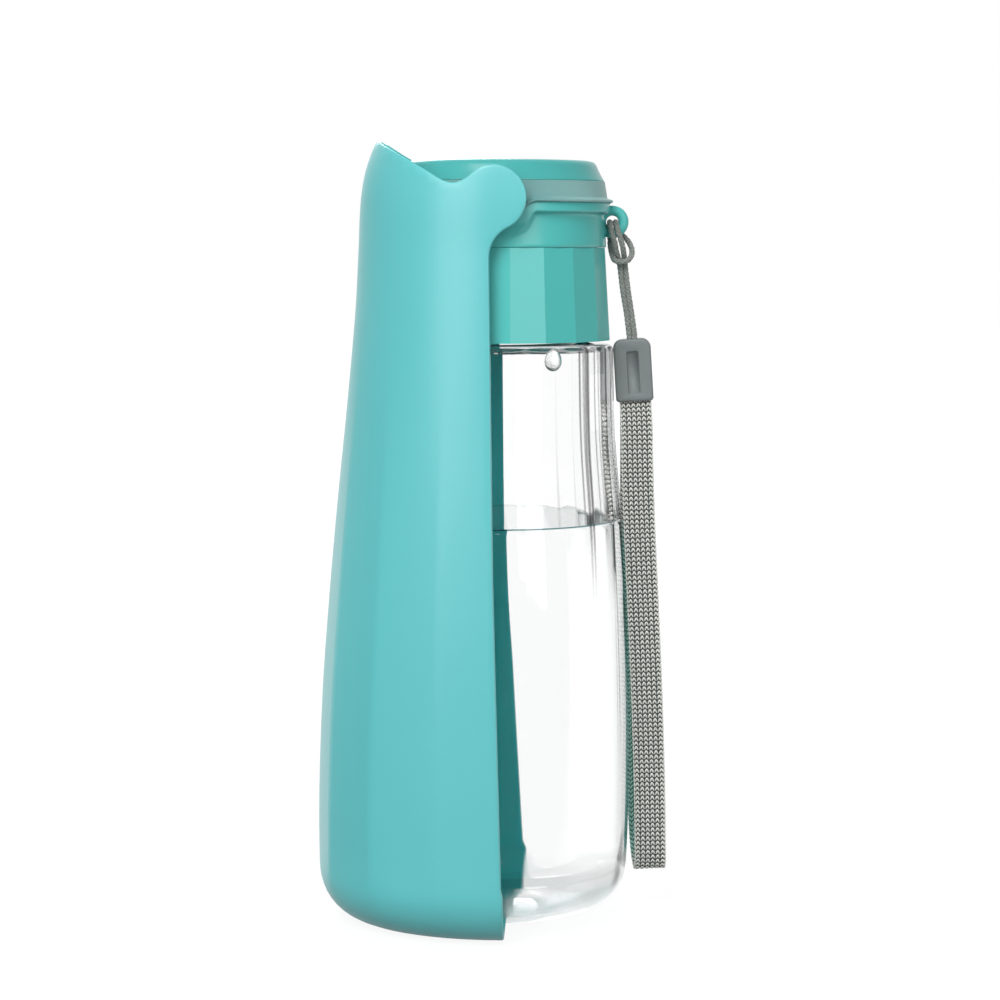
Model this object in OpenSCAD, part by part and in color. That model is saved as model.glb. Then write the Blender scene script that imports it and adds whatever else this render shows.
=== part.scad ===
// Dog travel water bottle: a clear bottle under a fold-out drinking trough.
//
// The trough is a long leaf-shaped shell that hangs on two bosses of the head,
// covers the front of the bottle and carries the whole thing on its flat end.
// The head turns on a screw ring, which opens a two-port disc valve between them.
// A wrist strap hangs from an eyelet at the back of the head.
//
// Frame: millimetres, origin on the table under the bottle's axis, +Z up,
// the trough on the -X side, the strap on the +X side, the hinge along Y.

/* [Heights] */
// Height of the trough's hinge over the table
hinge_z = 201.6; // [198:0.1:205]
// Height of the trough's tip over the hinge
beak_rise = 15.8; // [13:0.1:18]
// Height of the head's top over the hinge
cap_rise = 10.5; // [9:0.1:13]
// Depth from the hinge to the joint between head and ring
collar_drop = 13.0; // [12.6:0.1:14]
// Height of the screw ring
ring_h = 25.4; // [24:0.1:28]
// Gap between the bottle's foot and the trough's floor
foot_gap = 2.2; // [1.8:0.1:4]

/* [Trough] */
// Reach of the trough in front of the axis, at its fullest
trough_reach = 50.8; // [48:0.1:56]
// Half width of the trough at its fullest
trough_half_w = 40.6; // [40.2:0.1:44]
// Reach of the trough in front of the axis, at the hinge
neck_reach = 37.9; // [36.5:0.1:40]
// Half width of the trough over the hinge ears
ear_half_w = 34.9; // [34.6:0.1:37]
// Wall and floor of the trough
trough_wall = 2.2; // [1.8:0.1:2.6]
// Radius between the trough's floor and its sides
trough_floor_r = 15; // [12:0.5:18]
// Radius of the ear that carries the hinge, seen from the side
ear_r = 8.7; // [7.5:0.1:9.2]
// Radius between the ear and the straight rim
rim_fillet_r = 8.7; // [6:0.1:11]
// Radius of the notch between the ear and the beak
notch_r = 6.8; // [5:0.1:8]
// Slope of the beak's edge, in degrees
beak_slope = 30.6; // [26:0.1:34]
// Place of the rim in front of (-) or behind (+) the axis, at the ear
rim_top_x = -1.2; // [-2.5:0.1:0]
// Place of the rim at the floor
rim_foot_x = 2.6; // [1:0.1:5]

/* [Head] */
// Radius of the collar
collar_r = 29.5; // [29.2:0.1:30]
// Radius of the flange over the collar
flange_r = 31.1; // [30.6:0.1:31.2]
// Height of the flange's sloping edge
flange_h = 3.2; // [2.4:0.1:3.6]
// Radius of the plate on top
cap_r = 28.6; // [28:0.1:29]
// Height of the plate on top
cap_h = 5.6; // [5:0.1:6.2]
// Radius of the rubber lip that wipes the trough
lip_r = 31.8; // [31.4:0.1:31.9]
// Radius of the outlet in the top
outlet_r = 6; // [4:0.5:9]
// Radius of the two hinge bosses
boss_r = 4; // [3:0.1:4.6]
// Play of the hinge bosses and of the turning joints
play = 0.06; // [0.03:0.01:0.1]

/* [Screw ring] */
// Radius over the ring's facet edges, at its top
ring_top_r = 29.9; // [29.6:0.1:30.4]
// Radius over the ring's facet edges, at its bottom
ring_foot_r = 31.4; // [30.8:0.1:31.8]
// Facets round the ring and round the bottle's shoulder
facets = 20; // [16:1:24]
// Radius of the ports of the valve
port_r = 5; // [3.5:0.5:6]
// Distance of the ports from the axis
port_at = 12; // [11:0.5:13.5]

/* [Bottle] */
// Gap between the bottle's side and the trough's wall, at their fullest
bottle_gap = 1.6; // [1.2:0.1:2.4]
// Radius of the bottle under its shoulder
shoulder_r = 32; // [31:0.1:32.4]
// Wall of the bottle
bottle_wall = 1.6; // [1.2:0.1:2.2]
// Outer radius of the bottle's neck
neck_r = 24.5; // [24.2:0.1:25]
// Inner radius of the bottle's neck
mouth_r = 21.5; // [19:0.1:22]
// Radius between the bottle's side and its foot
foot_round = 12; // [9:0.5:14]

/* [Strap] */
// Diameter of the strap's cord
cord_d = 1.5; // [1.2:0.1:1.5]
// Width of the strap's webbing
webbing_w = 8.9; // [7:0.1:9]
// Thickness of the strap's webbing
webbing_t = 1.1; // [0.8:0.1:1.1]
// Width of the clip between cord and webbing
clip_w = 10.4; // [10.2:0.1:12]
// Height of the clip
clip_h = 17.4; // [16:0.1:20]
// Depth of the clip, front to back
clip_depth = 5; // [4.6:0.1:6]

/* [Hidden] */
$fn = 96;
eps = 0.01;

teal = "#5fc4c4";
teal_dark = "#459c97";
silicone = "#9fbcbb";
clear = "#dfe9ea";
grey = "#8a8f8c";

// Heights that follow from the driving ones.
collar_z = hinge_z - collar_drop;
seat_gap = 0.06;
ring_z1 = collar_z - seat_gap;
ring_z0 = ring_z1 - ring_h;
beak_z = hinge_z + beak_rise;
cap_z1 = hinge_z + cap_rise;
cap_z0 = cap_z1 - cap_h;
flange_z1 = hinge_z - 0.9;
flange_z0 = flange_z1 - flange_h;
foot_z = trough_wall + foot_gap;
bottle_r = trough_half_w - trough_wall - bottle_gap;

// Radii round the turning joint between head and ring, from the inside out.
upstand_r = collar_r - 4.96;
upstand_in_r = upstand_r - 2.34;
rotor_r = upstand_in_r - 0.2;
rotor_in_r = rotor_r - 1.8;
journal_r = upstand_r + play;
skirt_in_r = upstand_r - 1.14;
skirt_r = upstand_r + 0.86;
head_in_r = skirt_r + 0.1;
head_wall_r = head_in_r + 2.1;
ring_bore_r = upstand_r + 3.06;
snap_depth = 0.45;

// The valve: web of the ring, seals, rotor.
web_t = 2.6;
web_z1 = ring_z1 - 2.2;
web_z0 = web_z1 - web_t;
gasket_t = 1.6;
neck_z1 = web_z0 - gasket_t;
seal_stand = 0.8;
seal_sink = 0.8;
rotor_z0 = web_z1 + seal_stand;
rotor_floor_t = 2.4;
upstand_z1 = collar_z + 4.9;
rotor_flange_z0 = upstand_z1 + 0.9;
rotor_flange_t = 1.4;

// The space that the head turns in while the trough folds: a ball about the hinge.
ball_r = lip_r + 0.3;
ear_face_y = ball_r + 0.1;
boss_y = ear_face_y + 1.3;
ear_pad_r = ear_r + 0.8;
hood_drop = 3;

// Arches of flange and lip that dip round the hinge.
lip_arch_r = 8.9;
arch_in_r = 9.9;
arch_out_r = 13;
pocket_r = head_wall_r + 0.8;
band_r = flange_r - 0.9;

function lerp(a, b, t) = a + (b - a) * t;
function clamp01(t) = max(0, min(1, t));
function smooth(t) = let (u = clamp01(t)) u * u * (3 - 2 * u);

// Smooth curve through stations [z, value], with slopes from the neighbours.
function slope(s, i) =
    i <= 0 ? (s[1][1] - s[0][1]) / (s[1][0] - s[0][0]) :
    i >= len(s) - 1 ? (s[i][1] - s[i - 1][1]) / (s[i][0] - s[i - 1][0]) :
    (s[i + 1][1] - s[i - 1][1]) / (s[i + 1][0] - s[i - 1][0]);
function span(s, z, i = 0) = i >= len(s) - 2 || z < s[i + 1][0] ? i : span(s, z, i + 1);
function curve(s, z) =
    let (i = span(s, z), h = s[i + 1][0] - s[i][0], t = clamp01((z - s[i][0]) / h),
         t2 = t * t, t3 = t2 * t)
    s[i][1] * (2 * t3 - 3 * t2 + 1) + h * slope(s, i) * (t3 - 2 * t2 + t) +
    s[i + 1][1] * (3 * t2 - 2 * t3) + h * slope(s, i + 1) * (t3 - t2);

function arc(cx, cy, r, a0, a1, n) =
    [for (i = [0:n]) let (a = lerp(a0, a1, i / n)) [cx + r * cos(a), cy + r * sin(a)]];

// Closed skin over rings of points, all with the same number of points and
// each running anticlockwise as seen from the far end.
module skin(rings) {
    n = len(rings[0]);
    last = len(rings) - 1;
    points = [for (r = rings) each r];
    sides = [for (k = [0:last - 1], i = [0:n - 1])
        let (j = (i + 1) % n)
        each [[k * n + i, (k + 1) * n + j, k * n + j], [k * n + i, (k + 1) * n + i, (k + 1) * n + j]]];
    bottom = [for (i = [1:n - 2]) [0, i, i + 1]];
    top = [for (i = [1:n - 2]) [last * n, last * n + i + 1, last * n + i]];
    polyhedron(points, concat(bottom, sides, top), convexity = 6);
}

// ---------------------------------------------------------------- trough

// Reach in front of the axis and half width, by height.
reach_at = [[0, trough_reach - 0.3], [30, trough_reach], [62, trough_reach - 1.1],
    [90, trough_reach - 3.2], [118, lerp(trough_reach, neck_reach, 0.45)],
    [146, lerp(trough_reach, neck_reach, 0.68)], [171, lerp(trough_reach, neck_reach, 0.87)],
    [188, neck_reach + 0.7], [hinge_z, neck_reach], [hinge_z + 8, neck_reach - 1.4],
    [beak_z, neck_reach - 4.2]];
half_w_at = [[0, trough_half_w - 0.2], [30, trough_half_w], [62, trough_half_w - 0.4],
    [90, trough_half_w - 1.1], [118, lerp(trough_half_w, ear_half_w, 0.38)],
    [146, lerp(trough_half_w, ear_half_w, 0.66)], [171, lerp(trough_half_w, ear_half_w, 0.88)],
    [188, ear_half_w + 0.1], [hinge_z, ear_half_w], [beak_z, ear_half_w - 1.4]];

facet_step = 24;
facet_points = 4;
facet_top = 178;
facet_full = 95;
facet_foot = 26;
facet_depth = 0.7;
side_x = 12;

// How far the section at height z is pulled in by the radius over the floor.
function floor_inset(z, r) = z >= r ? 0 : r - sqrt(r * r - (r - z) * (r - z));

// Point of the front half section at angle t, between round and faceted.
function front_point(a, b, t, k) =
    let (t0 = floor(t / facet_step) * facet_step, t1 = min(90, t0 + facet_step),
         s0 = max(-90, t0), u = (t - s0) / (t1 - s0),
         chord = [lerp(-a * cos(s0), -a * cos(t1), u), lerp(b * sin(s0), b * sin(t1), u)],
         round_p = [-a * cos(t), b * sin(t)])
    [lerp(round_p[0], chord[0], k), lerp(round_p[1], chord[1], k)];

function trough_section(z, inset, z_shape) =
    let (a = curve(reach_at, z_shape) - inset, b = curve(half_w_at, z_shape) - inset,
         rise = smooth(z_shape / facet_foot),
         k = facet_depth * rise * smooth((facet_top - z_shape) / (facet_top - facet_full)),
         step = facet_step / facet_points, n = 180 / step)
    concat([[side_x, b, z]],
        [for (i = [0:n]) let (p = front_point(a, b, 90 - i * step, k)) [p[0], p[1], z]],
        [[side_x, -b, z]]);

module trough_body(inset, z0, z1, floor_r) {
    low = [for (i = [0:5]) z0 + floor_r * (1 - cos(i * 15))];
    rise = (z1 - z0 - floor_r) / 22;
    high = [for (i = [0:22]) z0 + floor_r + i * rise];
    skin([for (z = concat(low, high))
        trough_section(z, inset + floor_inset(z - z0, floor_r), z)]);
}

// Outline from the side: beak, notch, ear, fillet and straight rim.
beak_line_z = beak_z - 0.3;
beak_line_x = -neck_reach + 6.2;
function beak_edge_z(x) = beak_line_z - (x - beak_line_x) * tan(beak_slope);
// The notch touches the beak's edge and the ear.
notch_n = [sin(beak_slope), cos(beak_slope)];
notch_t = [cos(beak_slope), -sin(beak_slope)];
notch_h = (hinge_z - beak_edge_z(0)) * cos(beak_slope) - notch_r;
notch_s = sqrt((ear_r + notch_r) * (ear_r + notch_r) - notch_h * notch_h);
notch_c = [-notch_s * notch_t[0] - notch_h * notch_n[0],
           hinge_z - notch_s * notch_t[1] - notch_h * notch_n[1]];
notch_a = atan2(hinge_z - notch_c[1], -notch_c[0]);
// The fillet touches the rim and the ear.
fillet_x = rim_top_x + rim_fillet_r;
fillet_drop = sqrt((ear_r + rim_fillet_r) * (ear_r + rim_fillet_r) - fillet_x * fillet_x);
fillet_a = atan2(fillet_drop, -fillet_x);

module trough_outline() {
    front_x = -80;
    polygon(concat(
        [[front_x, -5], [front_x, beak_edge_z(front_x)]],
        arc(notch_c[0], notch_c[1], notch_r, -90 - beak_slope, notch_a, 10),
        arc(0, hinge_z, ear_r, 180 + notch_a, fillet_a - 180, 24),
        arc(fillet_x, hinge_z - fillet_drop, rim_fillet_r, fillet_a, 180, 8),
        [[lerp(rim_top_x, rim_foot_x, 0.3), hinge_z / 2], [rim_foot_x, 0], [rim_foot_x, -5]]));
}

module hinge_cylinder(r, y0, y1) {
    for (side = [-1, 1]) translate([0, side * y0, hinge_z])
        rotate([side * -90, 0, 0]) cylinder(h = y1 - y0, r = r);
}

module trough() color(teal) {
    hood_z = hinge_z - hood_drop;
    difference() {
        intersection() {
            trough_body(0, 0, beak_z, trough_floor_r);
            translate([0, 60, 0]) rotate([90, 0, 0]) linear_extrude(120) trough_outline();
        }
        trough_body(trough_wall, trough_wall, hood_z, trough_floor_r - trough_wall);
        translate([0, 0, hinge_z]) sphere(r = ball_r);
        translate([0, ear_face_y, hinge_z]) rotate([90, 0, 0])
            cylinder(h = 2 * ear_face_y, r = ear_pad_r);
        hinge_cylinder(boss_r + play, ear_face_y - eps, boss_y + 0.2);
    }
}

// ---------------------------------------------------------------- head

module revolve(points) rotate_extrude() polygon(points);

// Half ring round the hinge, cut from the round wall between two radii.
module arch(r0, r1, in_r, out_r, z_top) {
    intersection() {
        revolve([[in_r, hinge_z - r1 - 1], [out_r, hinge_z - r1 - 1], [out_r, z_top], [in_r, z_top]]);
        difference() {
            hinge_cylinder(r1, in_r - 10, out_r + 1);
            hinge_cylinder(r0, in_r - 11, out_r + 2);
        }
    }
}

eyelet_x = 31.6;
eyelet_z = hinge_z - 6;
eyelet_ring_r = 3.05;
eyelet_wire_r = 1.45;

// Round ring with a straight bore, which the cord turns in.
module eyelet() {
    difference() {
        rotate_extrude() translate([eyelet_ring_r, 0]) circle(r = eyelet_wire_r, $fn = 48);
        cylinder(h = 4 * eyelet_wire_r, r = eyelet_ring_r - eyelet_wire_r + 0.12, center = true);
    }
}

// The rim under the collar dips into the ring and closes the joint to light and dirt.
module head_shell() color(teal_dark) {
    snap_z = collar_z + 2.6;
    rim_r = ring_bore_r - play;
    rim_z = collar_z - 0.8;
    edge = 0.35;
    difference() {
        union() {
            revolve([[journal_r, collar_z], [rim_r - 1, collar_z], [rim_r - 1, rim_z],
                [rim_r, rim_z],
                [rim_r, collar_z], [collar_r - edge, collar_z], [collar_r, collar_z + edge],
                [collar_r, flange_z0], [flange_r, flange_z1 - edge], [flange_r - edge, flange_z1],
                [head_wall_r, flange_z1], [head_wall_r, cap_z0],
                [head_in_r, cap_z0], [head_in_r, rotor_flange_z0], [journal_r, rotor_flange_z0],
                [journal_r, snap_z + 1.2], [journal_r - snap_depth, snap_z + 0.8],
                [journal_r - snap_depth, snap_z + 0.4], [journal_r, snap_z]]);
            arch(0, arch_out_r, pocket_r - 0.5, flange_r, hinge_z - 0.9);
            translate([eyelet_x, 0, eyelet_z]) rotate([90, 0, 0]) eyelet();
        }
        difference() {
            hinge_cylinder(arch_in_r, pocket_r - 8, flange_r + 1);
            translate([0, 0, collar_z - 1]) cylinder(h = 40, r = pocket_r);
        }
        translate([0, 0, collar_z - 1])
            cylinder(h = rotor_flange_z0 - collar_z, r = journal_r - snap_depth);
    }
    intersection() {
        hinge_cylinder(boss_r, head_in_r + 0.3, boss_y);
        translate([0, 0, hinge_z]) cube([20, 2 * boss_y + 1, 20], center = true);
    }
}

module outlet_cap() color(teal_dark) {
    dish_r = 19;
    dish_z = cap_z1 - 2.8;
    edge_r = 4.2;
    revolve(concat(
        [[outlet_r, dish_z - 2.2], [skirt_in_r - 1, dish_z - 2.2], [skirt_in_r, dish_z - 3.2],
         [skirt_in_r, rotor_flange_z0 + rotor_flange_t], [skirt_r, rotor_flange_z0 + rotor_flange_t],
         [skirt_r, cap_z0], [cap_r, cap_z0]],
        arc(cap_r - edge_r, cap_z1 - edge_r, edge_r, 0, 90, 10),
        [[dish_r + 1.4, cap_z1], [dish_r, cap_z1 - 1], [dish_r - 2, dish_z + 0.9],
         [outlet_r + 1, dish_z], [outlet_r, dish_z - 0.8]]));
}

module seal_band() color(silicone) {
    lip_z = hinge_z + 0.3;
    difference() {
        union() {
            revolve([[head_wall_r, flange_z1], [band_r, flange_z1], [band_r + 0.2, lip_z - 0.5],
                [lip_r - 0.2, lip_z - 0.4], [lip_r, lip_z + 0.3], [band_r - 0.1, lip_z + 0.7],
                [band_r - 0.4, cap_z0 - 2], [cap_r, cap_z0], [head_wall_r, cap_z0]]);
            arch(0, arch_in_r - 0.05, pocket_r, band_r - 0.4, lip_z);
            arch(lip_arch_r, arch_in_r - 0.05, pocket_r, lip_r - 0.1, lip_z);
        }
        difference() {
            hinge_cylinder(lip_arch_r, pocket_r - 8, lip_r + 8);
            translate([0, 0, hinge_z - 20]) cylinder(h = 40, r = band_r - 0.2);
        }
        hinge_cylinder(boss_r + 0.1, pocket_r - 8, lip_r + 8);
    }
}

module valve_rotor() color("#cfd8d7") {
    difference() {
        revolve([[0, rotor_z0], [rotor_r, rotor_z0], [rotor_r, rotor_flange_z0],
            [skirt_r, rotor_flange_z0], [skirt_r, rotor_flange_z0 + rotor_flange_t],
            [rotor_in_r, rotor_flange_z0 + rotor_flange_t], [rotor_in_r, rotor_z0 + rotor_floor_t],
            [0, rotor_z0 + rotor_floor_t]]);
        for (side = [-1, 1]) translate([0, side * port_at, rotor_z0 - 1])
            cylinder(h = rotor_floor_t + 2, r = port_r);
    }
}

// ---------------------------------------------------------------- screw ring

first_edge = -82;
function facet_ring(r, z, n, turn) =
    [for (i = [0:n - 1]) [r * cos(turn + i * 360 / n), r * sin(turn + i * 360 / n), z]];

module screw_ring() color(teal_dark) {
    snap_z = collar_z + 2.4;
    groove_z = collar_z + 0.3;
    difference() {
        skin([facet_ring(ring_foot_r, ring_z0, facets, first_edge),
              facet_ring(ring_top_r, ring_z1, facets, first_edge)]);
        translate([0, 0, ring_z0 - 1]) cylinder(h = web_z0 - ring_z0 + 1, r = ring_bore_r);
        translate([0, 0, web_z1]) difference() {
            cylinder(h = 10, r = ring_bore_r);
            translate([0, 0, -1]) cylinder(h = 12, r = upstand_r);
        }
        translate([0, 0, web_z1]) cylinder(h = 10, r = upstand_in_r);
        ring_ports(port_r, web_z0 - 1, web_z1 + 1);
        ring_ports(port_r + 2.05, web_z1 - seal_sink, web_z1 + 1);
    }
    revolve([[upstand_in_r, web_z1 - eps], [upstand_r, web_z1 - eps], [upstand_r, groove_z],
        [upstand_r - 1.5, groove_z], [upstand_r - 1.5, groove_z + 1.6], [upstand_r, groove_z + 1.6],
        [upstand_r, snap_z], [upstand_r - snap_depth - 0.15, snap_z + 0.3],
        [upstand_r - snap_depth - 0.15, snap_z + 1.1], [upstand_r, snap_z + 1.5],
        [upstand_r, upstand_z1 - 0.5], [upstand_r - 0.5, upstand_z1], [upstand_in_r, upstand_z1]]);
}

module ring_ports(r, z0, z1) {
    for (side = [-1, 1]) translate([side * port_at, 0, z0]) cylinder(h = z1 - z0, r = r);
}

module port_seals() color(silicone) {
    difference() {
        ring_ports(port_r + 2, web_z1 - seal_sink, rotor_z0 - 0.05);
        ring_ports(port_r, web_z1 - 5, rotor_z0 + 1);
    }
}

module journal_o_ring() color(silicone) {
    groove_z = collar_z + 0.3;
    translate([0, 0, groove_z + 0.8]) rotate_extrude()
        translate([upstand_r - 0.8, 0]) circle(r = 0.68, $fn = 32);
}

module neck_gasket() color(silicone) {
    in_r = mouth_r + 0.1;
    out_r = neck_r - 0.1;
    revolve([[in_r, neck_z1], [out_r, neck_z1], [out_r, web_z0], [in_r, web_z0]]);
}

// ---------------------------------------------------------------- bottle

shoulder_z = ring_z0 - 1.2;
shoulder_round = 2;
side_z1 = shoulder_z - shoulder_round - 0.6;
bottle_at = [[foot_z + foot_round, bottle_r - 0.4], [33, bottle_r], [62, bottle_r - 0.2],
    [90, bottle_r - 1.1], [113, lerp(bottle_r, shoulder_r, 0.46)],
    [134, lerp(bottle_r, shoulder_r, 0.83)], [146, shoulder_r + 0.3], [side_z1, shoulder_r]];
bottle_facet_top = 120;
bottle_facet_end = 78;
bottle_first_edge = -75;

function bottle_section(r, z, k) =
    [for (i = [0:2 * facets - 1])
        let (a = bottle_first_edge + i * 180 / facets,
             flat = i % 2 == 1 ? lerp(1, cos(180 / facets), k) : 1)
        [r * flat * cos(a), r * flat * sin(a), z]];

module bottle_outside() {
    foot = [for (i = [0:4]) let (a = i * 90 / 5)
        [bottle_r - 0.4 - foot_round + foot_round * sin(a), foot_z + foot_round * (1 - cos(a))]];
    z0 = foot_z + foot_round;
    side = [for (i = [0:14]) let (z = lerp(z0, side_z1, i / 14)) [curve(bottle_at, z), z]];
    shoulder = arc(shoulder_r - shoulder_round, side_z1, shoulder_round, 22.5, 90, 3);
    blend = bottle_facet_top - bottle_facet_end;
    skin([for (p = concat(foot, side, shoulder, [[neck_r + 0.8, shoulder_z]]))
        bottle_section(p[0], p[1], smooth((p[1] - bottle_facet_end) / blend))]);
}

module bottle() color(clear, 0.4) {
    z0 = foot_z + foot_round;
    wall = bottle_wall + 0.4;
    punt_r = 20;
    punt_h = 4;
    difference() {
        union() {
            bottle_outside();
            translate([0, 0, shoulder_z - 1]) cylinder(h = neck_z1 - shoulder_z + 1, r = neck_r);
        }
        revolve(concat(
            [[0, foot_z + punt_h + bottle_wall], [punt_r, foot_z + bottle_wall + 0.6]],
            arc(bottle_r - 0.4 - foot_round, z0, foot_round - bottle_wall, -80, 0, 5),
            [for (i = [1:14]) let (z = lerp(z0, side_z1, i / 14)) [curve(bottle_at, z) - wall, z]],
            [[shoulder_r - 3.4, shoulder_z - 2.2], [mouth_r, shoulder_z - 1.6],
             [mouth_r, neck_z1 + 1], [0, neck_z1 + 1]]));
        revolve([[0, foot_z - 1], [punt_r - 0.5, foot_z - 1], [punt_r - 0.8, foot_z + 0.2],
            [0, foot_z + punt_h]]);
    }
}

// ---------------------------------------------------------------- strap

// Route of the cord, as steps from the eyelet: up from the clip, through the
// eyelet, round as a loop that takes both strands, and back to the clip.
cord_steps = [
    [5.3, 0, -38.6], [4.9, 0, -33.1], [4, 0, -25.6], [2.8, 0, -18.6], [1.7, -0.1, -13.6],
    [1, -1.6, -9.6], [0.7, -2.5, -6.6], [-0.1, -2.6, -3.3], [-0.7, -1.7, -0.8],
    [-0.7, 0, 0], [-0.7, 1.7, -0.8], [-0.6, 2.6, -3.6], [-0.5, 2.4, -7.6], [0, 0.4, -10.8],
    [0.8, -1.9, -12.8], [3, -2.2, -13.2], [5, -1, -12.2], [5.8, 1, -9.4],
    [4.6, 2.5, -6], [2, 2.7, -2.8], [0.9, 1.7, -0.8], [0.9, 0, 0],
    [1.1, -1.7, -0.8], [1.8, -2.7, -3.3], [2.6, -2.6, -6.6], [3.2, -1.5, -9.6],
    [3.6, 0.3, -13], [4.5, 0, -18.6], [5.6, 0, -25.6], [6.6, 0, -33.1], [6.9, 0, -38.6]];
cord_route = [for (p = cord_steps) p + [eyelet_x, 0, eyelet_z]];

clip_z0 = eyelet_z - 49.5;
clip_x = eyelet_x + 6.5;
clip_lean = 3.6;
clip_wall = 0.5;

// Middle of the webbing, hanging beside the bottle with a gap at height z.
function beside(z, gap) = curve(bottle_at, max(z, 33)) + webbing_w / 2 + gap;

// Route of the webbing: down in front, round the fold and up behind, with its X, Y and Z.
webbing_route = [
    [clip_x - 0.6, -0.65, clip_z0 + 9.9], [clip_x - 0.15, -0.65, clip_z0 + 2.9],
    [clip_x + 0.2, -0.75, clip_z0 - 1.1], [beside(138, 1.6), -2.4, 138],
    [beside(128, 1), -3.4, 128], [beside(112, 0.35), -3.8, 112], [beside(90, 0.4), -3.9, 90],
    [beside(66, 0.7), -3.9, 66], [beside(40, 1.4), -3.7, 40], [beside(24, 1.7), -3.4, 24],
    [beside(18, 1.8), -2.9, 18], [beside(15, 1.7), -1.4, 14.9], [beside(14, 1.5), 0.8, 14.2],
    [beside(15, 1.2), 3, 15.4], [beside(18, 1), 4.4, 18.5], [beside(25, 0.9), 5, 25],
    [beside(40, 0.7), 5.2, 40], [beside(66, 0.3), 5, 66], [beside(90, 0.25), 4.7, 90],
    [beside(112, 0.35), 4.3, 112], [beside(128, 1.2), 3.6, 128], [beside(138, 1.6), 2.4, 138],
    [clip_x + 0.2, 0.75, clip_z0 - 1.1], [clip_x - 0.15, 0.65, clip_z0 + 2.9],
    [clip_x - 0.6, 0.65, clip_z0 + 9.9]];

// Point on a smooth curve through the route's points.
function route_at(p, i, t) =
    let (n = len(p) - 1, a = p[max(0, i - 1)], b = p[i], c = p[i + 1], d = p[min(n, i + 2)])
    0.5 * (2 * b + (c - a) * t + (2 * a - 5 * b + 4 * c - d) * t * t + (3 * b - a - 3 * c + d) * t * t * t);
function unit(v) = v / norm(v);
function route(p, per) =
    concat([for (i = [0:len(p) - 2], k = [0:per - 1]) route_at(p, i, k / per)], [p[len(p) - 1]]);
function along(q, i) = unit(q[min(len(q) - 1, i + 1)] - q[max(0, i - 1)]);
// Side direction carried from ring to ring, so that the tube doesn't twist.
function sides_of(q, i = 0, v = [1, 0, 0], done = []) =
    i >= len(q) ? done :
    let (t = along(q, i), w = unit(v - (v * t) * t)) sides_of(q, i + 1, w, concat(done, [w]));

module strap_cord() color(grey) {
    q = route(cord_route, 2);
    u = sides_of(q, 0, [1, 0, 0], []);
    skin([for (i = [0:len(q) - 1]) let (w = cross(along(q, i), u[i]))
        [for (k = [0:7]) q[i] + cord_d / 2 * (cos(45 * k) * u[i] + sin(45 * k) * w)]]);
}

webbing_lean = 2.4;
module strap_webbing() color("#a9aca6") {
    q = route(webbing_route, 2);
    across = [cos(webbing_lean), 0, sin(webbing_lean)];
    skin([for (i = [0:len(q) - 1])
        let (t = along(q, i), w = unit(across - (across * t) * t), n = cross(t, w))
        [for (c = [[1, 0.6], [0.9, 1], [-0.9, 1], [-1, 0.6], [-1, -0.6], [-0.9, -1], [0.9, -1], [1, -0.6]])
            q[i] + c[0] * webbing_w / 2 * w + c[1] * webbing_t / 2 * n]]);
}

module clip_outline(grow) {
    w = clip_w / 2 + grow;
    round_r = 2.6 + grow;
    polygon(concat([[-w, -grow], [w, -grow]],
        arc(w - round_r, clip_h + grow - round_r, round_r, 0, 90, 6),
        arc(-w + round_r, clip_h + grow - round_r, round_r, 90, 180, 6)));
}

// One half of the clip, on the front (-1) or the back (1) side.
module clip_half(side) {
    half = clip_depth / 2;
    translate([clip_x, 0, clip_z0]) rotate([0, -clip_lean, 0]) difference() {
        rotate([90, 0, 0]) translate([0, 0, side > 0 ? -half : 0.02])
            linear_extrude(half - 0.02) clip_outline(0);
        translate([0, 0, 5]) cube([clip_w - 2 * clip_wall, 2 * (webbing_t + 0.25), 12], center = true);
        translate([0, 0, clip_h - 4]) cube([4.4, cord_d + 0.3, 14], center = true);
        translate([0, side * half, 8]) cube([3.2, 1.2, 11.6], center = true);
    }
}

module clip_front() color(grey) clip_half(-1);
module clip_back() color(grey) clip_half(1);

trough();
head_shell();
outlet_cap();
seal_band();
valve_rotor();
screw_ring();
port_seals();
journal_o_ring();
neck_gasket();
bottle();
strap_cord();
strap_webbing();
clip_front();
clip_back();
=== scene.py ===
# Looks of a dog travel water bottle: a clear bottle under a fold-out drinking
# trough, with a turning head, a screw ring and a wrist strap.
#
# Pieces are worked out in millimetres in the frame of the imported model, and
# their meshes are stored in metres. The photograph is square, 1000 by 1000.
import math

import bmesh
import bpy
import numpy as np
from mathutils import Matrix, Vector, geometry


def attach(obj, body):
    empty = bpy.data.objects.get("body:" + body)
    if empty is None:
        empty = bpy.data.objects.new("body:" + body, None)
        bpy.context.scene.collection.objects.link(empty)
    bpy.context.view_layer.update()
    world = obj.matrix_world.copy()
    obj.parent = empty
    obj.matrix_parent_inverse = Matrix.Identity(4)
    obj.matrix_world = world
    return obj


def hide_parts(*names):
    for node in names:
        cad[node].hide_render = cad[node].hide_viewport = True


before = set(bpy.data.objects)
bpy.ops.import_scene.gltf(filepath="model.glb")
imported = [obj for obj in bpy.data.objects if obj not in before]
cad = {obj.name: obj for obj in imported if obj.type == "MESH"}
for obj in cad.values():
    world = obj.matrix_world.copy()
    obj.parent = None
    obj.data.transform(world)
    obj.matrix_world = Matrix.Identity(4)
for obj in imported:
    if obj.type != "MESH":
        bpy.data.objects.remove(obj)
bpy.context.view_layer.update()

# ------------------------------------------------------------------ camera
# The photograph's eye: about 0.7 m away, a little under the height of the
# hinge, looking slightly down, from 2 degrees towards the strap's side.
eye_distance = 704
eye_height = 189.2
eye_azimuth = 2
eye_drop = 5.75
photo_side = 1000
axis_column = 498
focal_pixels = 2530

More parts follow.
